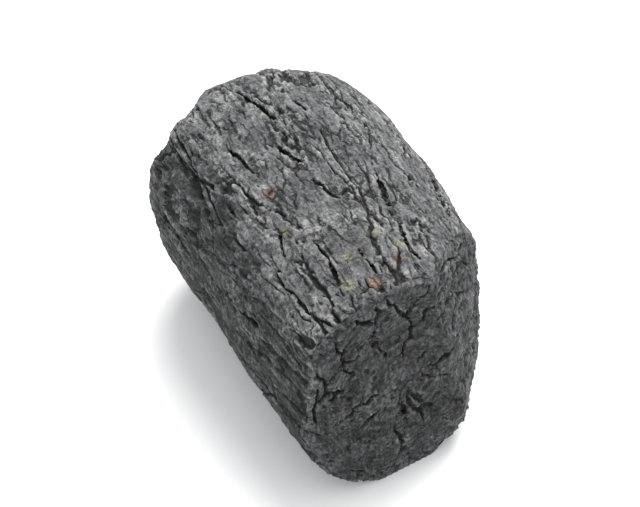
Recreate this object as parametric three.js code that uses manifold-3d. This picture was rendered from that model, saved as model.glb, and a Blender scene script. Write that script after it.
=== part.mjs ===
// A lump of charcoal: a short length of a branch, charred with its bark on and broken
// at both ends. It lies on its side. Millimetres, +Z up, +X along the grain towards the
// end broken straight across. It is worked out round the pith, and then moved so that
// the origin is at its resting face, under the middle of its length and width.
// Places on the side are given by x, along the grain, and by turn, the angle in degrees
// round the pith: 0 at the right-hand side (+Y), 90 on top, 180 at the left.
import * as THREE from "three";
import { mergeVertices } from "three/addons/utils/BufferGeometryUtils.js";
import Module from "manifold-3d";

// Driving dimensions.
const straightEndX = 55; // rim of the end broken straight across
const straightEndBulge = 3; // how far the middle of that end stands out past its rim
const roundEndX = -40; // where the lump starts to round off towards its other end
const roundEndDepth = 31; // length of the rounded part
const roundEndFullness = 2.5; // 2 is an ellipse, more is squarer
const restingDepth = 36; // from the pith, down to the face the lump lies on

// Fineness of the mesh.
const pointsAround = 60;
const stationsAlong = 22;
const stationsOnRoundEnd = 7;
const stationsOnStraightEnd = 5;
const stationsAlongCrack = 7;
const crackOverlap = 2; // how far a crack's wedge stands out of the surface it cuts

// Cross-sections, seen from the straight end with +Y to the right. Each goes once round
// from the right-hand side over the top: right, upper right, top right, top, top left,
// shoulder, left, lower left, left of the underside, underside, right of it, lower right.
const sections = [
  {
    x: roundEndX,
    outline: [
      [38.5, 5], [36, 21], [23, 34.5], [4, 40], [-17, 39], [-33, 30],
      [-40, 10], [-36, -14], [-24, -32], [-2, -38], [22, -35], [37, -18],
    ],
  },
  {
    x: -8,
    outline: [
      [39.5, 5], [37.5, 21], [23, 34], [3, 39], [-16, 38], [-33, 29],
      [-38, 9], [-34, -14], [-24, -31], [-3, -38], [21, -35], [36, -18],
    ],
  },
  {
    x: 22,
    outline: [
      [39, 3], [36, 19], [22, 32], [3, 37], [-15, 36], [-31, 26],
      [-36, 7], [-33, -14], [-23, -30], [-3, -38], [20, -34], [35, -18],
    ],
  },
  {
    x: straightEndX,
    outline: [
      [36, 2], [34, 18], [21, 29], [3, 34.5], [-14, 34], [-29, 27],
      [-32, 9], [-31, -14], [-20, -30], [-2, -37], [18, -33], [32, -18],
    ],
  },
];

// Low swellings and hollows of the bark: each a soft bump at a place on the side, with
// its half-width along the grain (millimetres) and round it (degrees), and its height.
const swellings = [
  { x: -26, turn: 78, along: 15, round: 24, height: 1.5 },
  { x: -8, turn: 143, along: 24, round: 9, height: 1.4 },
  { x: 26, turn: 98, along: 20, round: 22, height: 1.2 },
  { x: 10, turn: 58, along: 15, round: 14, height: -1.3 },
  { x: -20, turn: 116, along: 12, round: 12, height: -1.2 },
  { x: -14, turn: 170, along: 20, round: 9, height: -1.8 },
  { x: 20, turn: 196, along: 24, round: 12, height: 1.4 },
  { x: 34, turn: 20, along: 16, round: 18, height: 1.2 },
  { x: -4, turn: 320, along: 26, round: 20, height: 1.6 },
  { x: 30, turn: 250, along: 16, round: 18, height: -1.3 },
];

// Flat breaks: everything beyond each plane is gone. A plane is given by the direction
// it faces and by its distance from the pith in the middle of the lump.
const breaks = [
  { facing: [1, 0.2, 0.03], distance: 50 },
  { facing: [1, 1.12, 0.25], distance: 43.9 },
  { facing: [-1, -0.85, 0.75], distance: 64 },
  { facing: [-1, 0.3, 0.25], distance: 65 },
  { facing: [-1, 0.1, -0.8], distance: 66 },
  { facing: [0, 0, -1], distance: restingDepth },
];

// Cracks that opened in the bark as it dried: each follows a few places on the side,
// [x, turn], and tapers out at both ends.
const barkCracks = [
  { path: [[-53, 106], [-33, 99], [-25, 95]], width: 1.2, depth: 3 },
  { path: [[-37, 87], [-26, 82]], width: 1, depth: 2.4 },
  { path: [[-22, 105], [-11, 101], [-6, 96]], width: 1.3, depth: 3 },
  { path: [[-2, 100], [14, 93]], width: 1, depth: 2.4 },
  { path: [[-6, 68], [7, 70], [21, 74]], width: 1.5, depth: 3.6 },
  { path: [[19, 70], [35, 77], [44, 72]], width: 1.1, depth: 3 },
  { path: [[19, 115], [33, 113], [46, 117]], width: 1.2, depth: 3 },
  { path: [[29, 100], [47, 98]], width: 1.1, depth: 3 },
  { path: [[10, 122], [27, 129]], width: 1, depth: 2.4 },
  { path: [[-32, 122], [-8, 117]], width: 1, depth: 2.4 },
  { path: [[-42, 46], [-20, 42]], width: 1.2, depth: 3 },
  { path: [[-4, 34], [22, 40]], width: 1.2, depth: 3 },
  { path: [[-30, 8], [-6, 12]], width: 1.1, depth: 2.6 },
  { path: [[-40, 168], [-16, 173]], width: 0.9, depth: 2.2 },
  { path: [[2, 166], [30, 160]], width: 1, depth: 2.4 },
  { path: [[-12, 196], [12, 192]], width: 1, depth: 2.4 },
  { path: [[20, 214], [42, 209]], width: 1.1, depth: 2.8 },
  { path: [[-34, 222], [-10, 226]], width: 1.1, depth: 2.8 },
  { path: [[-6, 330], [20, 334]], width: 1.2, depth: 3 },
];

// Splits that run out from near the pith across the straight end: each from and to a
// distance from the pith, at an angle round it.
const endSplits = [
  { angle: 118, from: 3, to: 31, width: 1, depth: 6 },
  { angle: 222, from: 5, to: 27, width: 0.9, depth: 5 },
  { angle: 275, from: 3, to: 24, width: 0.8, depth: 4 },
];

const halfTurn = 180;

// Points of one section's outline, spaced evenly between its corners.
function sampleSection({ x, outline }) {
  const corners = outline.map(([y, z]) => new THREE.Vector3(x, y, z));
  const curve = new THREE.CatmullRomCurve3(corners, true, "centripetal");
  return Array.from({ length: pointsAround }, (_, i) => curve.getPoint(i / pointsAround));
}

// Height of the bark's swellings at a point of the side.
function swellingAt({ x, y, z }) {
  const turn = THREE.MathUtils.radToDeg(Math.atan2(z, y));
  let height = 0;
  for (const bump of swellings) {
    const away = THREE.MathUtils.euclideanModulo(turn - bump.turn + halfTurn, 2 * halfTurn) - halfTurn;
    const distance = ((x - bump.x) / bump.along) ** 2 + (away / bump.round) ** 2;
    height += bump.height * Math.exp(-distance);
  }
  return height;
}

// The side's lines along the grain, one through each sampled point of the sections.
function linesAlong() {
  const sampled = sections.map(sampleSection);
  return Array.from({ length: pointsAround }, (_, i) => {
    const points = sampled.map((section) => section[i]);
    return new THREE.CatmullRomCurve3(points, false, "centripetal");
  });
}

// A ring across the side, at a station from 0 (rounded end) to 1 (straight end).
function ringAt(lines, station) {
  return lines.map((line) => {
    const point = line.getPoint(station);
    const radius = Math.hypot(point.y, point.z);
    const grown = (radius + swellingAt(point)) / radius;
    return new THREE.Vector3(point.x, point.y * grown, point.z * grown);
  });
}

// A rim ring drawn in towards the pith by a share of its size and moved along the grain.
function drawnIn(rim, share, shift) {
  return rim.map(({ x, y, z }) => new THREE.Vector3(x + shift, y * share, z * share));
}

function roundEndRings(rim) {
  const rings = [];
  for (let i = stationsOnRoundEnd - 1; i > 0; i--) {
    const angle = (Math.PI / 2) * (i / stationsOnRoundEnd);
    const share = Math.cos(angle) ** (2 / roundEndFullness);
    const shift = -roundEndDepth * Math.sin(angle) ** (2 / roundEndFullness);
    rings.push(drawnIn(rim, share, shift));
  }
  return rings;
}

function straightEndRings(rim) {
  const rings = [];
  for (let i = 1; i < stationsOnStraightEnd; i++) {
    const share = 1 - i / stationsOnStraightEnd;
    rings.push(drawnIn(rim, share, straightEndBulge * (1 - share ** 2)));
  }
  return rings;
}

// Skin over a row of rings, closed by a fan to a pole at each end.
function skin(rings, firstPole, lastPole) {
  const positions = [...rings.flat(), firstPole, lastPole].flatMap(({ x, y, z }) => [x, y, z]);
  const around = rings[0].length;
  const vertex = (ring, i) => ring * around + (i % around);
  const lastRing = rings.length - 1;
  const first = rings.length * around;
  const last = first + 1;
  const index = [];
  for (let i = 0; i < around; i++) {
    for (let ring = 0; ring < lastRing; ring++) {
      index.push(vertex(ring, i), vertex(ring, i + 1), vertex(ring + 1, i));
      index.push(vertex(ring, i + 1), vertex(ring + 1, i + 1), vertex(ring + 1, i));
    }
    index.push(first, vertex(0, i + 1), vertex(0, i));
    index.push(last, vertex(lastRing, i), vertex(lastRing, i + 1));
  }
  const geometry = new THREE.BufferGeometry();
  geometry.setAttribute("position", new THREE.Float32BufferAttribute(positions, 3));
  geometry.setIndex(index);
  return geometry;
}

function lumpRings() {
  const lines = linesAlong();
  const rings = [];
  for (let i = 0; i <= stationsAlong; i++) rings.push(ringAt(lines, i / stationsAlong));
  const roundEnd = roundEndRings(rings[0]);
  const straightEnd = straightEndRings(rings.at(-1));
  return [...roundEnd, ...rings, ...straightEnd];
}

// The lump before it was broken and cracked.
function wholeLump(rings) {
  const roundPole = new THREE.Vector3(roundEndX - roundEndDepth, 0, 0);
  const straightPole = new THREE.Vector3(straightEndX + straightEndBulge, 0, 0);
  return skin(rings, roundPole, straightPole);
}

// The point of the side nearest to a place on it.
function pointOnSide(rings, x, turn) {
  const angle = THREE.MathUtils.degToRad(turn);
  const outward = new THREE.Vector3(0, Math.cos(angle), Math.sin(angle));
  const ring = rings.reduce((a, b) => (Math.abs(b[0].x - x) < Math.abs(a[0].x - x) ? b : a));
  const inPlane = ({ y, z }) => new THREE.Vector3(0, y, z).angleTo(outward);
  const best = ring.reduce((a, b) => (inPlane(b) < inPlane(a) ? b : a));
  const radius = Math.hypot(best.y, best.z);
  return { centre: new THREE.Vector3(x, outward.y * radius, outward.z * radius), outward };
}

// A wedge that cuts one crack: it follows the places given, each a point of the surface
// (centre) and the way out of it (outward), and tapers to nothing at both ends.
function crackWedge(places, width, depth) {
  const rings = [];
  const end = places.length - 1;
  const outside = (place) => place.centre.clone().addScaledVector(place.outward, crackOverlap);
  for (let i = 1; i < end; i++) {
    const { centre, outward } = places[i];
    const ahead = places[i + 1].centre.clone().sub(places[i - 1].centre);
    const side = outward.clone().cross(ahead).normalize();
    const share = Math.sqrt(Math.sin(Math.PI * (i / end)));
    const halfWidth = (width / 2) * share * (1 + crackOverlap / depth);
    const top = outside(places[i]);
    const right = top.clone().addScaledVector(side, halfWidth);
    const left = top.clone().addScaledVector(side, -halfWidth);
    rings.push([right, left, centre.clone().addScaledVector(outward, -depth * share)]);
  }
  return skin(rings, outside(places[0]), outside(places[end]));
}

function barkCrack(rings, { path, width, depth }) {
  const curve = new THREE.SplineCurve(path.map(([x, turn]) => new THREE.Vector2(x, turn)));
  const places = curve.getPoints(stationsAlongCrack).map(({ x, y }) => pointOnSide(rings, x, y));
  return crackWedge(places, width, depth);
}

function endSplit({ angle, from, to, width, depth }) {
  const turn = THREE.MathUtils.degToRad(angle);
  const outward = new THREE.Vector3(1, 0, 0);
  const places = [];
  for (let i = 0; i <= stationsAlongCrack; i++) {
    const reach = THREE.MathUtils.lerp(from, to, i / stationsAlongCrack);
    const y = reach * Math.cos(turn);
    const z = reach * Math.sin(turn);
    places.push({ centre: new THREE.Vector3(straightBreakAt(y, z), y, z), outward });
  }
  return crackWedge(places, width, depth);
}

// Where the straight break's plane lies along the grain.
function straightBreakAt(y, z) {
  const { facing, distance } = breaks[0];
  const outward = new THREE.Vector3(...facing).normalize();
  return (distance - outward.y * y - outward.z * z) / outward.x;
}

// A large block whose one face lies on a break's plane, with the block beyond it.
function blockBeyond({ facing, distance }) {
  const size = 200;
  const outward = new THREE.Vector3(...facing).normalize();
  const block = new THREE.BoxGeometry(size, size, size);
  block.translate(0, 0, size / 2);
  block.applyQuaternion(new THREE.Quaternion().setFromUnitVectors(new THREE.Vector3(0, 0, 1), outward));
  block.translate(outward.x * distance, outward.y * distance, outward.z * distance);
  return block;
}

// Solid for cutting, from a closed geometry.
function toSolid(wasm, geometry) {
  const bare = geometry.clone();
  bare.deleteAttribute("normal");
  bare.deleteAttribute("uv");
  const merged = mergeVertices(bare);
  const vertProperties = Float32Array.from(merged.getAttribute("position").array);
  const triVerts = Uint32Array.from(merged.getIndex().array);
  return new wasm.Manifold(new wasm.Mesh({ numProp: 3, vertProperties, triVerts }));
}

// Geometry of a cut solid.
function toGeometry(solid) {
  const { vertProperties, triVerts } = solid.getMesh();
  const geometry = new THREE.BufferGeometry();
  geometry.setAttribute("position", new THREE.Float32BufferAttribute(vertProperties, 3));
  geometry.setIndex(Array.from(triVerts));
  return geometry;
}

const wasm = await Module();
wasm.setup();
const rings = lumpRings();
const cuts = [
  ...breaks.map(blockBeyond),
  ...barkCracks.map((crack) => barkCrack(rings, crack)),
  ...endSplits.map(endSplit),
];
let solid = toSolid(wasm, wholeLump(rings));
for (const cut of cuts) solid = solid.subtract(toSolid(wasm, cut));
const geometry = toGeometry(solid);
geometry.computeBoundingBox();
const middle = geometry.boundingBox.getCenter(new THREE.Vector3());
geometry.translate(-middle.x, -middle.y, restingDepth);

const charcoal = new THREE.MeshStandardMaterial({ color: 0x3a3a3b, roughness: 0.7, metalness: 0 });
const lump = new THREE.Mesh(geometry, charcoal);
lump.name = "charcoal_lump";

const group = new THREE.Group();
group.add(lump);
export default group;
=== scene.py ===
import math

import bmesh
import bpy
import numpy as np
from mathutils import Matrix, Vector
from mathutils.kdtree import KDTree


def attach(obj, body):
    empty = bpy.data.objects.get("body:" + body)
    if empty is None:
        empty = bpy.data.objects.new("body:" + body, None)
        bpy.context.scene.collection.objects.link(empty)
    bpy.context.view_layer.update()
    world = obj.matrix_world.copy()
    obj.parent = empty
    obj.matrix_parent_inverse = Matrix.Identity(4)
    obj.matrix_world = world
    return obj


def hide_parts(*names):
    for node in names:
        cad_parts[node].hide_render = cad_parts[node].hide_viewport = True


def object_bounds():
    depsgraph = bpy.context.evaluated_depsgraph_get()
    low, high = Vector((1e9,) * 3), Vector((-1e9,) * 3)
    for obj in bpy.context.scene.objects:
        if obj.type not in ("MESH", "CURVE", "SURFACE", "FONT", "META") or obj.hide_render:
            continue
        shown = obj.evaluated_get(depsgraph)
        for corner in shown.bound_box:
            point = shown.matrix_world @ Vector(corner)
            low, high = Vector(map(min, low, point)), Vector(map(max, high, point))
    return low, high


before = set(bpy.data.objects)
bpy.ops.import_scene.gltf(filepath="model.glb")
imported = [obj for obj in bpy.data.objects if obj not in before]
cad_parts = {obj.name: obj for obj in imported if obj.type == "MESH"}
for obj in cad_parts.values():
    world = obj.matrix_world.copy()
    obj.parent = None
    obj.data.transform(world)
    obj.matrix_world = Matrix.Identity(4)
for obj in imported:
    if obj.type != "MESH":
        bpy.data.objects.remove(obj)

mm = 0.001
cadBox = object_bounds()
print("charcoal lump: frame loaded")


# sRGB hex to linear, for every colour below
def linearColour(hexText):
    channels = [int(hexText[i:i + 2], 16) / 255 for i in (1, 3, 5)]
    linear = [c / 12.92 if c <= 0.04045 else ((c + 0.055) / 1.055) ** 2.4 for c in channels]
    return (*linear, 1)


# camera, floor and light

studio = {
    "azimuth": 66,  # degrees round the lump; 0 looks along +Y
    "elevation": 40,
    "distance": 0.80,  # metres from the middle of the lump
    "lens": 148,  # millimetres
    "floorColour": "#f1f1f0",
    "floorSize": 12,
    "floorRoughness": 0.9,
    "floorSpecular": 0.1,
    "worldColour": "#f4f6f8",
    "worldStrength": 1.2,
    "exposure": 0.0,
}

softLights = [
    # name, place round the lump (azimuth, elevation, distance), size, watts
    {"name": "overheadSoftbox", "azimuth": 230, "elevation": 56, "distance": 1.3, "size": 1.1, "power": 34},
    {"name": "lowFill", "azimuth": 20, "elevation": 25, "distance": 1.6, "size": 0.8, "power": 3},
]


# puts a camera or a light round the lump, facing it
def placeAround(thing, target, azimuth, elevation, distance):
    a = math.radians(azimuth)
    e = math.radians(elevation)
    back = Vector((math.sin(a) * math.cos(e), -math.cos(a) * math.cos(e), math.sin(e)))
    thing.location = target + back * distance
    thing.rotation_mode = "QUATERNION"
    thing.rotation_quaternion = (-back).to_track_quat("-Z", "Y")
    bpy.context.scene.collection.objects.link(thing)


def makeCamera(target):
    data = bpy.data.cameras.new("camera")
    data.lens = studio["lens"]
    data.clip_start = 0.01
    data.clip_end = 100
    camera = bpy.data.objects.new("camera", data)
    placeAround(camera, target, studio["azimuth"], studio["elevation"], studio["distance"])
    bpy.context.scene.camera = camera


def makeSoftLight(spec, target):
    data = bpy.data.lights.new(spec["name"], "AREA")
    data.shape = "DISK"
    data.size = spec["size"]
    data.energy = spec["power"]
    light = bpy.data.objects.new(spec["name"], data)
    placeAround(light, target, spec["azimuth"], spec["elevation"], spec["distance"])


def makeFloor():
    half = studio["floorSize"] / 2
    mesh = bpy.data.meshes.new("floor")
    corners = [(-half, -half, 0), (half, -half, 0), (half, half, 0), (-half, half, 0)]
    mesh.from_pydata(corners, [], [(0, 1, 2, 3)])
    floor = bpy.data.objects.new("floor", mesh)
    bpy.context.scene.collection.objects.link(floor)
    paper = bpy.data.materials.new("paleBackdropPaper")
    paper.use_nodes = True
    shader = paper.node_tree.nodes["Principled BSDF"]
    shader.inputs["Base Color"].default_value = linearColour(studio["floorColour"])
    shader.inputs["Roughness"].default_value = studio["floorRoughness"]
    shader.inputs["Specular IOR Level"].default_value = studio["floorSpecular"]
    mesh.materials.append(paper)


def makeWorld():
    world = bpy.data.worlds.new("studioWorld")
    world.use_nodes = True
    background = world.node_tree.nodes["Background"]
    background.inputs["Color"].default_value = linearColour(studio["worldColour"])
    background.inputs["Strength"].default_value = studio["worldStrength"]
    bpy.context.scene.world = world
    bpy.context.scene.view_settings.view_transform = "Standard"
    bpy.context.scene.view_settings.exposure = studio["exposure"]


low, high = cadBox
middle = (low + high) / 2
makeCamera(middle)
makeFloor()
makeWorld()
for spec in softLights:
    makeSoftLight(spec, middle)
print("charcoal lump: studio ready")


# noise, worked out on arrays of points

# one number from 0 to 1 for each whole-numbered cell, by mixing up the bits of its place
def cellNumber(cell, seed):
    n = (cell[:, 0] * 374761393 + cell[:, 1] * 668265263 + cell[:, 2] * 2147483647 + seed * 1274126177)
    n = (n ^ (n >> 13)) * 1103515245 & 0x7FFFFFFF
    n = (n ^ (n >> 15)) * 12345677 & 0x7FFFFFFF
    return ((n ^ (n >> 12)) & 0xFFFFFF) / 0xFFFFFF


# smooth noise from -1 to 1, one wave or so for each unit of the points
def softNoise(points, seed):
    cell = np.floor(points).astype(np.int64)
    inside = points - cell
    ease = inside * inside * inside * (inside * (inside * 6 - 15) + 10)
    total = np.zeros(len(points))
    for corner in np.ndindex(2, 2, 2):
        weight = np.ones(len(points))
        for axis in range(3):
            weight *= ease[:, axis] if corner[axis] else 1 - ease[:, axis]
        total += weight * cellNumber(cell + np.array(corner), seed)
    return total * 2 - 1


# softNoise in layers, each of half the size and somewhat less height
def layeredNoise(points, size, seed, layers, fade):
    total = np.zeros(len(points))
    height = 1.0
    whole = 0.0
    for layer in range(layers):
        # each layer starts at another place, so that their cells' corners don't meet
        total += height * softNoise(points / np.array(size) * 2 ** layer + 17.3 * layer, seed + layer)
        whole += height
        height *= fade
    return total / whole


# cracked plates: how far a point is from its plate's border in millimetres, how much that border
# runs across the grain (0 to 1), and a number of the plate's own
def plates(points, size, seed, jitter=0.9):
    scaled = points / size
    cell = np.floor(scaled).astype(np.int64)
    nearest = np.full(len(points), 99.0)
    second = np.full(len(points), 99.0)
    firstCentre = np.zeros(points.shape)
    secondCentre = np.zeros(points.shape)
    own = np.zeros(len(points))
    for step in np.ndindex(3, 3, 3):
        other = cell + np.array(step) - 1
        wander = np.stack([cellNumber(other, seed + k) for k in (1, 2, 3)], 1) - 0.5
        centre = other + 0.5 + jitter * wander
        distance = ((scaled - centre) ** 2).sum(1)
        isFirst = distance < nearest
        isSecond = ~isFirst & (distance < second)
        otherCentre = np.where(isSecond[:, None], centre, secondCentre)
        secondCentre = np.where(isFirst[:, None], firstCentre, otherCentre)
        second = np.where(isFirst, nearest, np.where(isSecond, distance, second))
        firstCentre = np.where(isFirst[:, None], centre, firstCentre)
        nearest = np.where(isFirst, distance, nearest)
        own = np.where(isFirst, cellNumber(other, seed + 4), own)
    slope = (firstCentre - secondCentre) / size
    steepness = np.linalg.norm(slope, axis=1) + 1e-6
    return (second - nearest) / 2 / steepness, np.abs(slope[:, 0]) / steepness, own


# from 0 to 1, smoothly, while the values go from start to end
def ramp(values, start, end):
    t = np.clip((values - start) / (end - start), 0, 1)
    return t * t * (3 - 2 * t)


# a soft hump of height 1, as wide as the reach to each side of its middle
def hump(values, centre, reach):
    return np.exp(-((values - centre) / reach) ** 2)


# flat terraces with sharp edges, one above another, as flaking bark has; from 0 upwards in steps
def terraces(values, edge):
    level = np.floor(values)
    return level + ramp(values - level, 0, edge)


# the lump as a whole: millimetres along the grain from its middle, degrees round the pith

lump = {
    "seed": 23,
    "voxel": 0.42,  # mm between the points of the finished surface
    "pithHeight": 36,  # mm above the resting face
    "resting": (0.3, 2.5),  # mm above the floor: flat up to the first, fully rough from the second
    # the crest between the top and the darker flank: mm along the grain, degrees round the pith
    "crest": [(-50, 139), (-28, 134), (-10, 129), (10, 130), (25, 134), (42, 142), (62, 144)],
    "crestWander": {"long": 12, "wide": 6, "high": 5, "seed": 185},  # high is in degrees here
    "flankStarts": (-4, 9),  # degrees past the crest
    "flankEnds": (205, 235),  # degrees round the pith, where the underside begins
    # how much of its way a face points along the grain: where a break starts, and where it is whole
    "nearBreak": (0.5, 0.72),
    "farBreak": (0.72, 0.92),
    "sideLean": 0.4,  # a face that points less than this along the grain is on the side
    "chips": {"long": 4, "wide": 3.2, "high": 1.1, "seed": 180},
    "chipsFrom": (0.0, 0.3),  # the higher, the fewer the chips
    "mostWorn": 1.6,  # mm that a sharp edge counts as standing out, at most
    "worn": (0.4, 0.7),  # share of that taken off everywhere, and more of it where it is chipped
    # rounds of evening out: more of them reach further
    "hollowRounds": 14,
    "backgroundRounds": 60,
    "rimRounds": 10,
    "wearRounds": 34,
    # the flank's painted shade is a little lighter on its far part, and loose crumbs are paler
    "farFlank": (-50, 5),  # mm along the grain: where it is palest, and where it is as dark as it gets
    "farFlankDark": 0.75,  # how dark its palest part is, as a share
    "crumblyPaler": 0.3,  # share of the darkness that loose crumbs take off
    "farthestEdge": 2,  # mm from a crack's edge, the most that is stored
}

# the big cracks, which are in the solid already and are made ragged here
bigCrack = {
    "width": 1.0,
    "extraDepth": 1.3,  # on top of what is cut in the solid already
    "bottom": 0.3,  # share of its width over which its bottom is level
    "slope": 0.35,  # mm from the crack's edge to the level bark
    "fray": {"long": 2.6, "wide": 1.4, "high": 0.6, "fade": 0.7, "seed": 190},
    "ragSize": 2.2,  # mm over which its width changes
    "ragged": (0.85, 0.6),  # its width's mean and most change, as shares of the width above
    "ragSeed": 195,
    "opensAt": (0.05, 1.1),  # mm deep: where it starts to show, and where it has its full width
    "blackAt": (0.05, 0.6),  # mm deep: where its edge starts to be drawn, and where it is black
    "closedGap": 0.4,  # mm that its edge counts as farther away where it isn't drawn
    "clear": (1.5, 3.5),  # mm beside it over which the bark's own main cracks come back
}

# spots: what it is, mm along the grain, degrees round the pith, mm across, mm deep
spots = [
    ("rust", 6, 117, 4.6, 0.9),
    ("rust", 47, 84, 4.2, 0.3),
    ("rust", 54, 102, 4.8, 0.0),
    ("olive", 22, 121, 4.6, 0.0),
    ("olive", 36, 90, 4.6, 0.0),
    ("olive", 42, 106, 4.4, 0.0),
    ("olive", 42, 81, 4.2, 0.0),
    ("olive", 51, 112, 4.8, 0.0),
    ("pale", 24, 112, 2.6, 0.0),
    ("pale", 28, 109, 3.2, 0.0),
    ("pit", 27, 73, 4.6, 1.5),
]

# where a spot's depth and its colour start to fade, and where they are gone, as shares of its radius
spotSunk = (0.2, 0.9)
spotSeen = (0.3, 1.2)

# rust-red dust, dried green algae and flakes of ash; a pit has no colour of its own
spotColours = {"rust": "#84624b", "olive": "#76785a", "pale": "#8e8e88"}


# reading and writing the mesh

def finelyMeshed(node):
    piece = bpy.data.objects.new("charcoalLump", node.data.copy())
    bpy.context.scene.collection.objects.link(piece)
    remesh = piece.modifiers.new("remesh", "REMESH")
    remesh.mode = "VOXEL"
    remesh.voxel_size = lump["voxel"] * mm
    graph = bpy.context.evaluated_depsgraph_get()
    mesh = bpy.data.meshes.new_from_object(piece.evaluated_get(graph))
    piece.modifiers.clear()
    piece.data = mesh
    mesh.name = "charcoalLump"
    return piece


def readPoints(mesh):
    flat = np.zeros(len(mesh.vertices) * 3)
    mesh.vertices.foreach_get("co", flat)
    return flat.reshape(-1, 3)


def readNormals(mesh):
    flat = np.zeros(len(mesh.vertices) * 3)
    mesh.vertex_normals.foreach_get("vector", flat)
    return flat.reshape(-1, 3)


def storeShare(mesh, name, values):
    attribute = mesh.attributes.new(name, "FLOAT", "POINT")
    attribute.data.foreach_set("value", values.astype(np.float32))


# each value replaced by the mean of its neighbours on the mesh, several times over
def evenedOut(mesh, values, rounds):
    ends = np.zeros(len(mesh.edges) * 2, np.int32)
    mesh.edges.foreach_get("vertices", ends)
    a, b = ends[0::2], ends[1::2]
    count = len(values)
    neighbours = np.bincount(a, minlength=count) + np.bincount(b, minlength=count)
    for _ in range(rounds):
        total = np.bincount(a, values[b], count) + np.bincount(b, values[a], count)
        values = (values + total) / (neighbours + 1)
    return values


# how far each point lies under the evened-out surface; less than 0 where it stands out of it
def depthUnder(mesh, points, normals, rounds):
    even = np.stack([evenedOut(mesh, points[:, axis], rounds) for axis in range(3)], 1)
    return ((even - points) * normals).sum(1)


# points along the bottoms of the lump's big cracks, which are its only edges folded sharply inwards
def crackBottoms(node):
    sharpFold = math.radians(100)
    spacing = 0.4  # mm
    samePlace = 0.01  # mm
    shape = bmesh.new()
    shape.from_mesh(node.data)
    bmesh.ops.remove_doubles(shape, verts=shape.verts, dist=samePlace * mm)
    found = []
    for edge in shape.edges:
        if not edge.is_convex and edge.calc_face_angle(0) > sharpFold:
            start, end = [v.co / mm for v in edge.verts]
            steps = math.ceil((end - start).length / spacing)
            found += [start.lerp(end, k / steps) for k in range(steps + 1)]
    shape.free()
    bottoms = KDTree(len(found))
    for index, place in enumerate(found):
        bottoms.insert(place, index)
    bottoms.balance()
    return bottoms


# From here to the finished points everything is in millimetres, with the pith at y = z = 0. A size
# has long, wide and high: along the grain, across it, and its height or the distance it moves things.

# noise of a given size, from about -1 to 1
def bumps(p, size, shift=0):
    reach = (size["long"], size["wide"], size["wide"])
    seed = lump["seed"] + size["seed"] + shift
    return layeredNoise(p, reach, seed, size.get("layers", 3), size.get("fade", 0.5))


# the same noise as a height, or as whatever else its size is high in
def raised(p, size, shift=0):
    return size["high"] * bumps(p, size, shift)


# three noises at once, to move points about
def wandering(p, size, shift=0):
    return np.stack([bumps(p, size, shift + 10 * k) for k in range(3)], 1)


# how far each point is from a place on the side, as a share of the radii given
def distanceFrom(p, turn, along, placeTurn, length, width):
    reach = np.hypot(p[:, 1], p[:, 2])
    sideways = reach * np.radians((turn - placeTurn + 180) % 360 - 180)
    return np.hypot((p[:, 0] - along) / length, sideways / width)


# how far each point is to the side of the nearest big crack, and how deep that crack goes there
def besideBigCrack(bottoms, points, outward):
    towards = np.array([bottoms.find(point)[0] for point in points]) - points
    depth = -(towards * outward).sum(1)
    beside = np.linalg.norm(towards + outward * depth[:, None], axis=1)
    return beside, depth


# what all the cracks between plates have in common
plateCracks = {
    "ragSize": (3, 1.6, 1.6),  # mm over which a crack's width changes
    "ragged": (0.85, 0.7),  # its width's mean and most change, as shares of halfGap
    "ragSeed": 5,
    "opensOver": 0.25,  # how gradually the patches of open and closed cracks meet
    "across": (0.45, 0.8),  # from running along the grain to running across it
    "bottom": 0.2,  # share of its width over which its bottom is level
    "slope": 0.3,  # mm from the crack's edge to the level plate
}


# cracks along the plates' borders, thin and broken up, and faint where they run across the grain:
# how deep into a crack a point is (0 to 1), its distance from the crack's edge, less than 0 inside,
# its distance from the plate's border, and the plate's own number
def crackedPlates(p, cracks, halfGap, shift=0):
    seed = lump["seed"] + cracks["seed"] + shift
    apart, across, own = plates(p, np.array((cracks["long"], cracks["wide"], cracks["wide"])), seed)
    mean, change = plateCracks["ragged"]
    ragged = mean + change * softNoise(p / np.array(plateCracks["ragSize"]), seed + plateCracks["ragSeed"])
    opening = cracks["opening"]
    opened = ramp(bumps(p, cracks["patches"], shift), opening, opening + plateCracks["opensOver"])
    opened = opened * (1 - (1 - cracks["crossing"]) * ramp(across, *plateCracks["across"]))
    width = halfGap * ragged * opened
    slope = plateCracks["slope"]
    depth = (1 - ramp(apart, plateCracks["bottom"] * width, width + slope)) * np.sqrt(opened)
    return depth, apart - width + slope * (1 - opened), apart, own


# the bark

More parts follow.
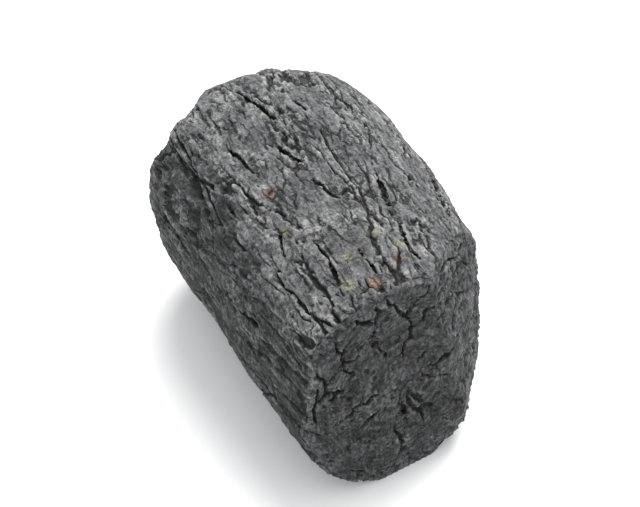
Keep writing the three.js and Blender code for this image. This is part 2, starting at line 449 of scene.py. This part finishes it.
bark = {
    "thickness": 5,
    # how the patterns bend and their borders fray, and by how many mm along and across the grain
    "bend": {"long": 16, "wide": 7, "layers": 4, "fade": 0.55, "seed": 20},
    "bendBy": (5, 2.2, 2.2),
    "bendSmallBy": (3, 1.5, 1.5),
    "fray": {"long": 2.6, "wide": 1.4, "layers": 2, "seed": 25},
    "frayBy": 0.6,
    "fraySmallBy": 0.5,
    "mainCracks": {
        "long": 34,
        "wide": 7.5,
        "high": 1.5,
        "halfGap": 0.36,
        "opening": -0.15,  # the lower, the more of the borders have opened
        "crossing": 0.08,  # how far those across the grain have opened, as a share
        "patches": {"long": 20, "wide": 6.5, "seed": 9},
        "seed": 0,
    },
    "smallCracks": {
        "long": 12,
        "wide": 3.4,
        "high": 0.6,
        "halfGap": 0.2,
        "opening": -0.06,
        "crossing": 0.25,
        "patches": {"long": 7, "wide": 3.6, "seed": 79},
        "seed": 70,
    },
    "plateLift": 0.35,
    "plateRim": 0.5,  # mm over which a plate comes up to its own height
    "waves": {"long": 34, "wide": 18, "high": 0.8, "seed": 150},
    "dents": {"long": 14, "wide": 8, "high": 0.5, "seed": 155},
    "flakes": {"long": 28, "wide": 6, "high": 0.26, "seed": 120},
    "flakeSteps": 4,  # from the middle height to the highest
    "flakeEdge": 0.1,  # share of a step that its edge takes up
    "fibre": {"long": 12, "wide": 1.3, "high": 0.3, "fade": 0.75, "seed": 130},
    "flankStreaks": {"long": 30, "wide": 1.9, "high": 0.6, "fade": 0.7, "seed": 135},
    "crumbs": {"long": 2.2, "wide": 1.3, "high": 0.13, "fade": 0.8, "seed": 140},
    "looseCrumbs": 0.33,  # mm higher where the bark is crumbly
    "clods": {"long": 4.5, "wide": 3.4, "high": 0.08, "fade": 0.8, "seed": 145},
    "looseClods": 1.2,  # mm higher in the crumbly patches
    "looseHides": 0.7,  # share of the streaks that the clods hide there
    # how much less there is of each thing on the flank, as a share
    "flankLess": {
        "crumbliness": 0.6,
        "flakes": 0.6,
        "plateLift": 0.5,
        "mainCracks": 0.3,
        "smallCracks": 0.4,
    },
    "crumbliness": {"long": 14, "wide": 7, "seed": 170},
    "crumblyFrom": (-0.05, 0.25),  # the higher, the less of the bark is crumbly
    "crumblyCrest": 8,  # degrees to each side of the crest
    # where the bark has gone to crumbs: mm along, degrees round, mm long and mm wide from the middle
    "crumblyPatches": [(22, 157, 17, 14), (52, 144, 13, 6), (-8, 133, 8, 4)],
    "patchFades": (0.5, 1.2),  # shares of a patch's length and width
    # the raised crest and the dip just below it: mm, then degrees past the crest and to each side
    "crestHigh": 0.8,
    "crestAt": (-3, 5),
    "crestDip": 1.1,
    "crestDipAt": (6, 4),
    "crestPatches": {"long": 12, "wide": 8, "layers": 2, "seed": 160},
    "crestUneven": (0.6, 0.6),  # their mean height and its most change, as shares
    # shallow dips: mm along, degrees round, mm long and mm wide from the middle, mm deep
    "dips": [(-10, 183, 17, 3.5, 1.5), (30, 189, 20, 1.5, 0.9), (-14, 140, 17, 2.5, 1.1)],
}

knot = {
    "along": -21,
    "turn": 154,
    "length": 7.5,
    "width": 6,
    "rim": 1.4,
    "hollow": 0.5,
    "clods": 1.4,
    "trough": 1.5,  # the dip between the swelling round the knot and the crest
    "troughFades": (150, 168),  # degrees round the pith
    # shares of the length and width from the knot's middle: where each is, and its reach to each side
    "rimAt": (1, 0.3),
    "hollowAt": (0, 0.6),
    "troughAt": (1.9, 0.3),
    # the same shares: where each starts to fade, and where it is gone
    "clodsFade": (0.5, 0.9),
    "crumblyFades": (0.9, 1.3),
    "crackAt": 0.75,  # the same share
    "crack": 0.9,  # mm from the middle of the crack inside the rim to its edge
    "crackDepth": 0.8,
    "crackSlope": (-0.1, 0.4),  # mm from its edge: where it is at its deepest, and where it ends
    "crackOpens": (-0.4, -0.1),  # the lower, the more of it has opened
    "closedGap": 0.4,  # mm that its edge counts as farther away where it hasn't opened
    "crackBreaks": {"long": 4, "wide": 4, "layers": 2, "seed": 165},
}


# how crumbly the bark is, and where it has come loose in clods as well; both from 0 to 1
def crumblyBark(p, bent, turn, flank, pastCrest):
    crumbly = ramp(bumps(p, bark["crumbliness"]), *bark["crumblyFrom"])
    crumbly = crumbly * (1 - bark["flankLess"]["crumbliness"] * flank)
    crumbly = np.maximum(crumbly, hump(pastCrest, 0, bark["crumblyCrest"]))
    loose = np.zeros(len(p))
    for along, patchTurn, length, width in bark["crumblyPatches"]:
        away = distanceFrom(bent, turn, along, patchTurn, length, width)
        loose = np.maximum(loose, 1 - ramp(away, *bark["patchFades"]))
    return crumbly, loose


# a knot: a raised rim with a broken crack inside it, clods in its hollow, and a trough beside it;
# distances from its middle are shares of its length and width
def knotRelief(p, bent, turn, clods):
    away = distanceFrom(bent, turn, knot["along"], knot["turn"], knot["length"], knot["width"])
    height = knot["rim"] * hump(away, *knot["rimAt"]) - knot["hollow"] * hump(away, *knot["hollowAt"])
    height -= knot["trough"] * hump(away, *knot["troughAt"]) * (1 - ramp(turn, *knot["troughFades"]))
    height += knot["clods"] * (1 - ramp(away, *knot["clodsFade"])) * clods
    opened = ramp(bumps(p, knot["crackBreaks"]), *knot["crackOpens"])
    gap = np.abs(away - knot["crackAt"]) * knot["width"] - knot["crack"] * opened
    gap = gap + knot["closedGap"] * (1 - opened)
    height -= knot["crackDepth"] * (1 - ramp(gap, *knot["crackSlope"]))
    return height, gap, 1 - ramp(away, *knot["crumblyFades"])


# height, distance to the nearest crack's edge, and how crumbly it is
def barkRelief(p, turn, flank, pastCrest, beside):
    bend = wandering(p, bark["bend"])
    fray = wandering(p, bark["fray"])
    bent = p + bend * np.array(bark["bendBy"]) + bark["frayBy"] * fray
    finelyBent = p + bend * np.array(bark["bendSmallBy"]) + bark["fraySmallBy"] * fray
    crumbly, loose = crumblyBark(p, bent, turn, flank, pastCrest)

    mainCracks = bark["mainCracks"]
    smallCracks = bark["smallCracks"]
    main, mainGap, mainApart, mainOwn = crackedPlates(bent, mainCracks, mainCracks["halfGap"])
    small, smallGap, _, _ = crackedPlates(finelyBent, smallCracks, smallCracks["halfGap"])
    # no crack of its own close beside a big one
    clear = ramp(beside, *bigCrack["clear"])
    main *= clear
    mainGap = mainGap + bigCrack["clear"][0] * (1 - clear)

    clods = bumps(finelyBent, bark["clods"])
    height = raised(p, bark["waves"]) + raised(p, bark["dents"])
    flankLess = bark["flankLess"]
    flakes = terraces(bark["flakeSteps"] * bumps(bent, bark["flakes"]), bark["flakeEdge"])
    height += bark["flakes"]["high"] * flakes * (1 - flankLess["flakes"] * flank)
    lifted = bark["plateLift"] * (mainOwn - 0.5) * ramp(mainApart, 0, bark["plateRim"])
    height += lifted * (1 - flankLess["plateLift"] * flank)
    crest = bark["crestHigh"] * hump(pastCrest, *bark["crestAt"])
    crest = crest - bark["crestDip"] * hump(pastCrest, *bark["crestDipAt"])
    mean, change = bark["crestUneven"]
    height += crest * (mean + change * bumps(p, bark["crestPatches"]))
    height += raised(bent, bark["fibre"])
    height += flank * raised(bent, bark["flankStreaks"]) * (1 - bark["looseHides"] * loose)
    height += (bark["crumbs"]["high"] + bark["looseCrumbs"] * crumbly) * bumps(finelyBent, bark["crumbs"])
    height += (bark["clods"]["high"] + bark["looseClods"] * loose) * clods
    height -= mainCracks["high"] * main * (1 - flankLess["mainCracks"] * flank)
    height -= smallCracks["high"] * small * (1 - flankLess["smallCracks"] * flank)
    for along, dipTurn, length, width, deep in bark["dips"]:
        height -= deep * hump(distanceFrom(bent, turn, along, dipTurn, length, width), 0, 1)

    knotHeight, knotGap, knotCrumbly = knotRelief(p, bent, turn, clods)
    gap = np.minimum(np.minimum(mainGap, smallGap), knotGap)
    return height + knotHeight, gap, np.maximum(np.maximum(crumbly, loose), knotCrumbly)


# the broken ends

brokenEnd = {
    "ringSpacing": 2.6,  # one year's growth
    "ringHigh": 0.22,
    "ringUneven": {"long": 9, "wide": 9, "high": 0.25, "layers": 2, "seed": 3},  # high is a share here
    "ringWander": {"long": 30, "wide": 11, "high": 1.6, "seed": 0},
    "rimFrom": 20,  # mm from the lump's middle: the side beyond this gives the rim's shape
    "woodRim": {"long": 30, "wide": 7, "high": 1.2, "seed": 90},
    "splits": {
        "long": 16,
        "wide": 6,
        "halfGap": 0.42,
        "opening": -0.1,
        "crossing": 0.25,
        "patches": {"long": 14, "wide": 7, "seed": 20},
        "seed": 11,
    },
    "splitBend": {"long": 9, "wide": 6, "layers": 4, "fade": 0.6, "seed": 5},
    "splitBendBy": (4, 1.7, 1.7),  # mm along a split and across it
    "splitsStart": (3, 12),  # mm from the pith
    "splitsInBark": 0.7,  # how much less of a split there is in the bark, as a share
    "fanRadius": 15,  # mm from the pith, where the fan of splits is at true size
    "fanStart": 4,  # mm from the pith, within which the fan gets no narrower
    "splitLift": 0.4,  # mm from the lowest to the highest wood between splits
    "splitLiftFrom": (0.1, 1.2),  # mm from a split, over which the wood comes up to its own height
    "barkEdge": 0.4,  # mm to each side of the border between wood and bark
    "looseBark": {"long": 30, "wide": 9, "seed": 40},
    "looseFrom": (0.0, 0.2),  # the higher, the less of the bark has come away
    "looseGap": 0.35,  # mm from the middle of the gap that it leaves to the gap's edge
    "firmGap": 0.3,  # mm that the edge counts as farther away where the bark still holds
    "looseSlope": (0.1, 0.45),  # mm from the middle of the gap: where it rises from, and where it ends
    "creviceDepth": 1.5,
    "waves": {"long": 60, "wide": 14, "high": 1.3, "seed": 50},
    "steps": {"long": 60, "wide": 9, "high": 0.45, "layers": 4, "fade": 0.6, "seed": 60},
    "stepCount": 3,  # from the middle height to the highest
    "stepEdge": 0.15,  # share of a step that its edge takes up
    "fray": {"long": 2, "wide": 1.4, "high": 0.8, "layers": 2, "seed": 75},
    "crumbs": {"long": 3, "wide": 2, "high": 0.3, "fade": 0.9, "seed": 80},
    "barkCrumbs": 0.4,  # mm higher in the bark's rim
    "barkSunk": 0.4,
}


# how far the bark reaches from the pith at each turn, from the points of the side near an end
def rimAround(p, isSide, turn):
    bins = 48
    index = ((turn + math.pi) / (2 * math.pi) * bins).astype(int) % bins
    reach = np.hypot(p[:, 1], p[:, 2])
    rim = np.array([np.median(reach[isSide & (index == k)]) for k in range(bins)])
    middles = (np.arange(bins) + 0.5) / bins * 2 * math.pi - math.pi
    return np.interp(turn, middles, rim, period=2 * math.pi)


# splits that run out from the pith, of an even width: depth from 0 to 1, distance to the nearest
# split's edge, and how far the wood between them is lifted
def splitRelief(p, turn, reach, inBark, shift):
    splits = brokenEnd["splits"]
    radius = brokenEnd["fanRadius"]
    started = ramp(reach, *brokenEnd["splitsStart"])
    fan = np.stack([reach, radius * np.cos(turn), radius * np.sin(turn)], 1)
    fan += wandering(p, brokenEnd["splitBend"], shift) * np.array(brokenEnd["splitBendBy"])
    narrowing = radius / np.maximum(np.hypot(p[:, 1], p[:, 2]), brokenEnd["fanStart"])
    left = 1 - brokenEnd["splitsInBark"] * inBark
    halfGap = splits["halfGap"] * narrowing * started * left
    depth, gap, apart, own = crackedPlates(fan, splits, halfGap, shift)
    lift = brokenEnd["splitLift"] * (own - 0.5) * ramp(apart, *brokenEnd["splitLiftFrom"])
    return depth * started * left, gap / narrowing, lift


# height, distance to the nearest crack's edge, and growth rings from 0 to 1, for the end on one side
def endRelief(p, isSide, side):
    shift = 200 + side
    turn = np.arctan2(p[:, 2], p[:, 1])
    rim = rimAround(p, isSide & (side * p[:, 0] > brokenEnd["rimFrom"]), turn)
    reach = np.hypot(p[:, 1], p[:, 2]) + raised(p, brokenEnd["ringWander"], shift)
    woodRim = rim - bark["thickness"] + raised(p, brokenEnd["woodRim"], shift)
    inBark = ramp(reach - woodRim, -brokenEnd["barkEdge"], brokenEnd["barkEdge"])
    uneven = raised(reach[:, None] * np.array([[1, 0, 0]]), brokenEnd["ringUneven"], shift)
    year = brokenEnd["ringSpacing"] * (1 + uneven)
    ring = 0.5 - 0.5 * np.cos(2 * math.pi * reach / year)
    split, splitGap, splitLift = splitRelief(p, turn, reach, inBark, shift)

    # the gap where the bark has come away from the wood
    loose = ramp(bumps(p, brokenEnd["looseBark"], shift), *brokenEnd["looseFrom"])
    fromRim = np.abs(reach - woodRim)
    barkGap = fromRim - brokenEnd["looseGap"] * loose + brokenEnd["firmGap"] * (1 - loose)
    crevice = np.clip(split + (1 - ramp(fromRim, *brokenEnd["looseSlope"])) * loose, 0, 1)

    # a stepped, splintered break
    steps = terraces(
        brokenEnd["stepCount"] * bumps(p, brokenEnd["steps"], shift), brokenEnd["stepEdge"]
    )
    fray = brokenEnd["fray"]["high"] * wandering(p, brokenEnd["fray"], shift)
    crumbs = bumps(p + fray, brokenEnd["crumbs"], shift)
    height = raised(p, brokenEnd["waves"], shift)
    height += brokenEnd["steps"]["high"] * steps + splitLift
    height += brokenEnd["ringHigh"] * (ring - 0.5) * (1 - inBark) - brokenEnd["barkSunk"] * inBark
    height += (brokenEnd["crumbs"]["high"] + brokenEnd["barkCrumbs"] * inBark) * crumbs
    height -= brokenEnd["creviceDepth"] * crevice
    return height, np.minimum(splitGap, barkGap), ring * (1 - inBark)


# the whole surface

# degrees round the pith from -90 to 270, degrees past the crest, and how much of the flank it is
def whereRound(p):
    turn = np.degrees(np.arctan2(p[:, 2], p[:, 1]))
    turn = np.where(turn < -90, turn + 360, turn)
    crestAlong, crestTurn = zip(*lump["crest"])
    pastCrest = turn - np.interp(p[:, 0], crestAlong, crestTurn)
    pastCrest += raised(p, lump["crestWander"])
    flank = ramp(pastCrest, *lump["flankStarts"]) * (1 - ramp(turn, *lump["flankEnds"]))
    return turn, pastCrest, flank


# stores each colour of spot, and gives how deep the spots are sunk
def markSpots(mesh, p, turn):
    sunk = np.zeros(len(p))
    shares = {kind: np.zeros(len(p)) for kind in spotColours}
    for kind, along, spotTurn, across, deep in spots:
        away = distanceFrom(p, turn, along, spotTurn, across / 2, across / 2)
        sunk += deep * (1 - ramp(away, *spotSunk))
        if kind in shares:
            shares[kind] = np.maximum(shares[kind], 1 - ramp(away, *spotSeen))
    for kind, share in shares.items():
        storeShare(mesh, kind, share)
    return sunk


# the rims are chipped, and every sharp edge is worn round, here more and there less
def wornOff(mesh, points, normals, p, nearBreak, farBreak):
    chips = ramp(bumps(p, lump["chips"]), *lump["chipsFrom"])
    onRim = 4 * nearBreak * (1 - nearBreak) + 4 * farBreak * (1 - farBreak)
    standing = np.clip(-depthUnder(mesh, points, normals, lump["wearRounds"]), 0, lump["mostWorn"])
    everywhere, chipped = lump["worn"]
    return lump["chips"]["high"] * chips * onRim + standing * (everywhere + chipped * chips)


# the big cracks, ragged and narrowing to nothing where they get shallow: depth and distance to the edge
def bigCracks(p, beside, bigDepth):
    mean, change = bigCrack["ragged"]
    ragged = mean + change * softNoise(p / bigCrack["ragSize"], lump["seed"] + bigCrack["ragSeed"])
    opened = ramp(bigDepth, *bigCrack["opensAt"])
    half = bigCrack["width"] / 2 * ragged * opened
    level = 1 - ramp(beside, bigCrack["bottom"] * half, half + bigCrack["slope"])
    edge = beside - half + bigCrack["closedGap"] * (1 - ramp(bigDepth, *bigCrack["blackAt"]))
    return bigCrack["extraDepth"] * level * opened, edge


def shapeLump(piece, bottoms):
    mesh = piece.data
    points = readPoints(mesh) / mm
    normals = readNormals(mesh)
    p = points - np.array([0, 0, lump["pithHeight"]])
    turn, pastCrest, flank = whereRound(p)
    # the broken ends face mostly along the grain; the rest is plain side
    nearBreak = evenedOut(mesh, ramp(normals[:, 0], *lump["nearBreak"]), lump["rimRounds"])
    farBreak = evenedOut(mesh, ramp(-normals[:, 0], *lump["farBreak"]), lump["rimRounds"])
    isSide = np.abs(normals[:, 0]) < lump["sideLean"]
    plain = 1 - nearBreak - farBreak
    outward = p * np.array([0, 1, 1]) / np.hypot(p[:, 1], p[:, 2])[:, None] * plain[:, None]
    outward[:, 0] = nearBreak - farBreak
    outward /= np.linalg.norm(outward, axis=1)[:, None]
    fray = bigCrack["fray"]["high"] * wandering(p, bigCrack["fray"])
    beside, bigDepth = besideBigCrack(bottoms, points + fray, outward)

    side, sideGap, crumbly = barkRelief(p, turn, flank, pastCrest, beside)
    near, nearGap, nearRing = endRelief(p, isSide, 1)
    far, farGap, farRing = endRelief(p, isSide, -1)
    bigCrackHeight, bigGap = bigCracks(p, beside, bigDepth)
    height = side * plain + near * nearBreak + far * farBreak
    height -= wornOff(mesh, points, normals, p, nearBreak, farBreak)
    height -= markSpots(mesh, p, turn)
    height -= bigCrackHeight
    crackEdge = np.minimum(sideGap * plain + nearGap * nearBreak + farGap * farBreak, bigGap)
    # the face it lies on stays flat
    height *= ramp(points[:, 2], *lump["resting"])
    moved = points + normals * height[:, None]
    moved[:, 2] = np.maximum(moved[:, 2], 0)
    mesh.vertices.foreach_set("co", (moved * mm).ravel())
    mesh.update()

    # depth under the evened-out surface, in mm: cracks and pits above 0, crests and lips below
    hollow = depthUnder(mesh, moved, normals, lump["hollowRounds"])
    hollow -= evenedOut(mesh, hollow, lump["backgroundRounds"])
    # how dark the flank is painted, as shade: less on its far part and among loose crumbs
    farDarkness = lump["farFlankDark"]
    paintedFlankShade = farDarkness + (1 - farDarkness) * ramp(p[:, 0], *lump["farFlank"])
    paintedFlankShade *= 1 - lump["crumblyPaler"] * crumbly
    storeShare(mesh, "hollow", hollow)
    farthest = lump["farthestEdge"]
    storeShare(mesh, "crackEdge", np.clip(crackEdge, -farthest, farthest))
    storeShare(mesh, "crumbly", crumbly * plain)
    # the broken share darkens the ends as painted shade
    storeShare(mesh, "broken", nearBreak + farBreak)
    storeShare(mesh, "ring", nearRing * nearBreak + farRing * farBreak)
    # the flank share carries the painted shade on the flank, as well as its own streaks and mottle
    storeShare(mesh, "flank", flank * plain * paintedFlankShade)
    mesh.polygons.foreach_set("use_smooth", np.ones(len(mesh.polygons), bool))
    return points, normals


# flat layout of the surface, for baking: the side unrolled, the two ends as discs above it

layout = {
    "sheet": 262,  # mm, one side of the square that the picture covers
    "margin": 4,
    "seamRoom": 2,  # for the faces that go on past the seam
    "endSize": 126,
    "endGap": 1,
    "endLean": 0.62,  # a face that leans more than this along the grain belongs to an end
}


def unrollLump(mesh, points, normals):
    p = points - np.array([0, 0, lump["pithHeight"]])
    loops = np.zeros(len(mesh.loops), np.int32)
    mesh.loops.foreach_get("vertex_index", loops)
    starts = np.zeros(len(mesh.polygons), np.int32)
    totals = np.zeros(len(mesh.polygons), np.int32)
    mesh.polygons.foreach_get("loop_start", starts)
    mesh.polygons.foreach_get("loop_total", totals)
    faceOfLoop = np.repeat(np.arange(len(totals)), totals)
    lean = np.add.reduceat(normals[loops, 0], starts) / totals
    # the share of the way round; a face across the seam goes on past 1
    around = ((np.arctan2(p[:, 2], p[:, 1]) / (2 * math.pi) + 0.25) % 1)[loops]
    widest = np.maximum.reduceat(around, starts)[faceOfLoop]
    around = np.where(widest - around > 0.5, around + 1, around)
    sheet = layout["sheet"]
    margin = layout["margin"]
    half = layout["endSize"] / 2
    u = margin + around * (sheet - 2 * margin - layout["seamRoom"])
    v = margin + points[loops, 0] - points[:, 0].min()
    scale = half / (np.abs(p[:, 1:]).max() + layout["endGap"])
    centreV = sheet - margin / 2 - half
    for side, centreU in ((1, margin + half), (-1, sheet - margin - half)):
        onEnd = (side * lean > layout["endLean"])[faceOfLoop]
        u = np.where(onEnd, centreU + p[loops, 1] * scale, u)
        v = np.where(onEnd, centreV + p[loops, 2] * scale, v)
    layer = mesh.uv_layers.new(name="OFBake")
    layer.data.foreach_set("uv", (np.stack([u, v], 1) / sheet).astype(np.float32).ravel())


# the material

# Hardwood charcoal, burnt slowly with its bark on: all carbon, so grey-black everywhere and dull, with
# painted shade deep in the cracks and pits, on the flank and on the broken ends, and a dry pencil-lead
# shine only where crumbs have been rubbed.
charcoal = {
    "paintedShade": "#0d0d0e",
    # from the blackest to the palest: near-black, char, worn char and ash
    "shades": [(0.1, "#0d0d0e"), (0.38, "#363637"), (0.66, "#5d5d5e"), (0.95, "#8e8e88")],
    "ior": 1.5,
    "dullest": 0.88,
    "glossiest": 0.5,
    "fraySize": 1.6,  # mm
    "frayDetail": 2,
    "frayBy": 1.6,  # mm that the patterns' places are moved by, at most
    # size in mm; stretch is how much more slowly it changes along the grain
    "patterns": {
        "mottle": {"size": 7, "detail": 5, "roughness": 0.65},
        # real crumbs go down to a tenth of this, drawn coarser so that they show
        "grit": {"size": 0.9, "detail": 3, "roughness": 0.8},
        "hairPatch": {"size": 4, "detail": 2, "roughness": 0.5},
        "fibre": {"size": 1.2, "detail": 4, "roughness": 0.7, "stretch": 0.13},
        "streak": {"size": 1.8, "detail": 4, "roughness": 0.7, "stretch": 0.05},
    },
    "crumbSize": 1.5,  # mm
    "hairSpacing": 3.0,  # mm between hairline cracks; real ones are half as wide as drawn here
    "hairStretch": 0.33,
    "hairEdge": (0.03, 0.09),  # shares of the spacing, from the line's middle to its outside
    "hairShown": (0.47, 0.55),  # where in the hairPatch pattern they start, and where they are whole
    "crackFray": 0.9,  # mm by which the grit moves a crack's edge
    "crackEdge": (0.32, 0.55),  # mm, from the black of a crack to the char beside it
    "spotFray": (0.3, 0.56),  # the grit below the first stays bare; a spot covers that above the second
    "paintedShadeFrom": (0.15, 0.5),  # mm deep: where the painted shade starts, and where there is nothing else
    # how much painted shade the drawn crack lines and hairlines get
    "paintedShadeLines": {"crackLine": 0.97, "hairline": 0.75},
    # how much each thing lightens the char, or darkens it if less than 0
    "tone": {
        "grit": 0.95,
        "crumb": 0.12,
        "looseCrumb": 0.15,
        "fibre": 0.5,
        "mottle": 0.78,
        # painted shade in cracks and pits; crests and lips come out lighter
        "hollow": -0.3,
        "ring": -0.2,
        # the broken ends painted a little darker, as shade
        "broken": -0.06,
        # the flank painted darker, as shade
        "flank": -0.9,
        "flankMottle": 0.55,
        "flankStreak": 0.75,
    },
    "toneStart": -0.1,
    "toneRange": (0.68, 1.48),  # from the blackest shade to the palest
    "grain": 0.9,  # mm, height of the finest relief; the shares below are of this
    "relief": {
        "fibre": 1,
        "grit": 0.8,
        "crackLine": -0.7,
        "flankStreak": 1,
        "looseCrumb": 0.3,
        "hairline": -0.6,
    },
}


# adds a node with its settings, and its inputs as values or as outputs to link; gives one output back
def addNode(tree, kind, settings, inputs, output=None):
    node = tree.nodes.new(kind)
    for name, value in settings.items():
        setattr(node, name, value)
    for name, value in inputs.items():
        # a node such as Mix has several sockets of one name: the enabled one is meant
        sockets = [s for s in node.inputs if s.enabled]
        socket = sockets[name] if isinstance(name, int) else next(s for s in sockets if s.name == name)
        if isinstance(value, bpy.types.NodeSocket):
            tree.links.new(value, socket)
        else:
            socket.default_value = value
    found = [s for s in node.outputs if s.enabled and output in (None, s.name)]
    return found[0]


# the patterns and the shares stored on the surface, by name
def charPatterns(tree):
    found = {}
    for name in ("crackEdge", "hollow", "crumbly", "flank", "ring", "broken", *spotColours):
        found[name] = addNode(tree, "ShaderNodeAttribute", {"attribute_name": name}, {}, "Fac")
    place = addNode(tree, "ShaderNodeTexCoord", {}, {}, "Object")
    fray = addNode(
        tree,
        "ShaderNodeTexNoise",
        {},
        {"Vector": place, "Scale": 1 / (charcoal["fraySize"] * mm), "Detail": charcoal["frayDetail"]},
        "Color",
    )
    frayed = addNode(
        tree,
        "ShaderNodeVectorMath",
        {"operation": "MULTIPLY_ADD"},
        {0: fray, 1: (charcoal["frayBy"] * mm,) * 3, 2: place},
    )
    for name, pattern in charcoal["patterns"].items():
        where = place
        if "stretch" in pattern:
            where = addNode(
                tree, "ShaderNodeMapping", {}, {"Vector": frayed, "Scale": (pattern["stretch"], 1, 1)}
            )
        found[name] = addNode(
            tree,
            "ShaderNodeTexNoise",
            {},
            {
                "Vector": where,
                "Scale": 1 / (pattern["size"] * mm),
                "Detail": pattern["detail"],
                "Roughness": pattern["roughness"],
            },
        )
    # crumbs, each with a tone and a height of its own
    found["crumb"] = addNode(
        tree,
        "ShaderNodeTexVoronoi",
        {},
        {"Vector": frayed, "Scale": 1 / (charcoal["crumbSize"] * mm)},
        "Color",
    )
    for name, one, other in (
        ("looseCrumb", "crumb", "crumbly"),
        ("flankStreak", "streak", "flank"),
        ("flankMottle", "mottle", "flank"),
    ):
        found[name] = addNode(
            tree, "ShaderNodeMath", {"operation": "MULTIPLY"}, {0: found[one], 1: found[other]}
        )
    addHairlines(tree, found, frayed)
    addCrackLines(tree, found)
    return found


# hairline cracks between small plates, only here and there
def addHairlines(tree, found, frayed):
    loosely = addNode(
        tree, "ShaderNodeMapping", {}, {"Vector": frayed, "Scale": (charcoal["hairStretch"], 1, 1)}
    )
    border = addNode(
        tree,
        "ShaderNodeTexVoronoi",
        {"feature": "DISTANCE_TO_EDGE"},
        {"Vector": loosely, "Scale": 1 / (charcoal["hairSpacing"] * mm)},
    )
    inside, outside = charcoal["hairEdge"]
    line = addNode(
        tree,
        "ShaderNodeMapRange",
        {"interpolation_type": "SMOOTHSTEP"},
        {"Value": border, "From Min": inside, "From Max": outside, "To Min": 1, "To Max": 0},
    )
    none, whole = charcoal["hairShown"]
    shown = addNode(
        tree,
        "ShaderNodeMapRange",
        {"interpolation_type": "SMOOTHSTEP"},
        {"Value": found["hairPatch"], "From Min": none, "From Max": whole},
    )
    found["hairline"] = addNode(tree, "ShaderNodeMath", {"operation": "MULTIPLY"}, {0: line, 1: shown})


# the stored cracks, drawn sharp from the distance to their edge in mm, which the grit frays
def addCrackLines(tree, found):
    edge = addNode(
        tree,
        "ShaderNodeMath",
        {"operation": "MULTIPLY_ADD"},
        {0: found["grit"], 1: charcoal["crackFray"], 2: found["crackEdge"]},
    )
    black, plain = charcoal["crackEdge"]
    found["crackLine"] = addNode(
        tree,
        "ShaderNodeMapRange",
        {"interpolation_type": "SMOOTHSTEP"},
        {"Value": edge, "From Min": black, "From Max": plain, "To Min": 1, "To Max": 0},
    )


# how pale the char is, from 0 to 1
def charPaleness(tree, found):
    tone = charcoal["toneStart"]
    for name, weight in charcoal["tone"].items():
        tone = addNode(
            tree, "ShaderNodeMath", {"operation": "MULTIPLY_ADD"}, {0: found[name], 1: weight, 2: tone}
        )
    blackest, palest = charcoal["toneRange"]
    return addNode(
        tree, "ShaderNodeMapRange", {}, {"Value": tone, "From Min": blackest, "From Max": palest}
    )


def charColour(tree, found, paleness):
    colour = addNode(tree, "ShaderNodeValToRGB", {}, {"Fac": paleness}, "Color")
    stops = colour.node.color_ramp.elements
    stops.remove(stops[1])
    stops[0].position = charcoal["shades"][0][0]
    stops[0].color = linearColour(charcoal["shades"][0][1])
    for position, hexText in charcoal["shades"][1:]:
        stops.new(position).color = linearColour(hexText)

    # the spots, each broken up by the grit
    bare, covered = charcoal["spotFray"]
    frayedAway = addNode(
        tree,
        "ShaderNodeMapRange",
        {"interpolation_type": "SMOOTHSTEP"},
        {"Value": found["grit"], "From Min": bare, "From Max": covered},
    )
    for kind, hexText in spotColours.items():
        shown = addNode(tree, "ShaderNodeMath", {"operation": "MULTIPLY"}, {0: found[kind], 1: frayedAway})
        colour = addNode(
            tree,
            "ShaderNodeMix",
            {"data_type": "RGBA"},
            {"Factor": shown, "A": colour, "B": linearColour(hexText)},
        )

    # painted shade in every crack and pit, and thinner in the hairlines
    shallow, deep = charcoal["paintedShadeFrom"]
    paintedShadeShare = addNode(
        tree,
        "ShaderNodeMapRange",
        {"interpolation_type": "SMOOTHSTEP"},
        {"Value": found["hollow"], "From Min": shallow, "From Max": deep},
    )
    for name, share in charcoal["paintedShadeLines"].items():
        line = addNode(tree, "ShaderNodeMath", {"operation": "MULTIPLY"}, {0: found[name], 1: share})
        paintedShadeShare = addNode(tree, "ShaderNodeMath", {"operation": "MAXIMUM"}, {0: paintedShadeShare, 1: line})
    return addNode(
        tree,
        "ShaderNodeMix",
        {"data_type": "RGBA"},
        {"Factor": paintedShadeShare, "A": colour, "B": linearColour(charcoal["paintedShade"])},
    )


def charRelief(tree, found):
    height = 0
    for name, weight in charcoal["relief"].items():
        height = addNode(
            tree, "ShaderNodeMath", {"operation": "MULTIPLY_ADD"}, {0: found[name], 1: weight, 2: height}
        )
    return addNode(
        tree, "ShaderNodeBump", {}, {"Height": height, "Strength": 1, "Distance": charcoal["grain"] * mm}
    )


def makeCharcoal():
    material = bpy.data.materials.new("hardwoodCharcoal")
    material.use_nodes = True
    tree = material.node_tree
    shader = tree.nodes["Principled BSDF"]
    shader.inputs["IOR"].default_value = charcoal["ior"]
    shader.inputs["Metallic"].default_value = 0
    found = charPatterns(tree)
    paleness = charPaleness(tree, found)
    # the palest crumbs are the rubbed ones, with the most shine
    roughness = addNode(
        tree,
        "ShaderNodeMapRange",
        {},
        {"Value": paleness, "To Min": charcoal["dullest"], "To Max": charcoal["glossiest"]},
    )
    tree.links.new(charColour(tree, found, paleness), shader.inputs["Base Color"])
    tree.links.new(roughness, shader.inputs["Roughness"])
    tree.links.new(charRelief(tree, found), shader.inputs["Normal"])
    return material


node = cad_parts["charcoal_lump"]
piece = finelyMeshed(node)
print("charcoal lump: remeshed,", len(piece.data.polygons), "faces")
points, normals = shapeLump(piece, crackBottoms(node))
print("charcoal lump: bark and breaks shaped")
unrollLump(piece.data, points, normals)
piece.data.materials.clear()
piece.data.materials.append(makeCharcoal())
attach(piece, "root")
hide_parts("charcoal_lump")
print("charcoal lump: material on")
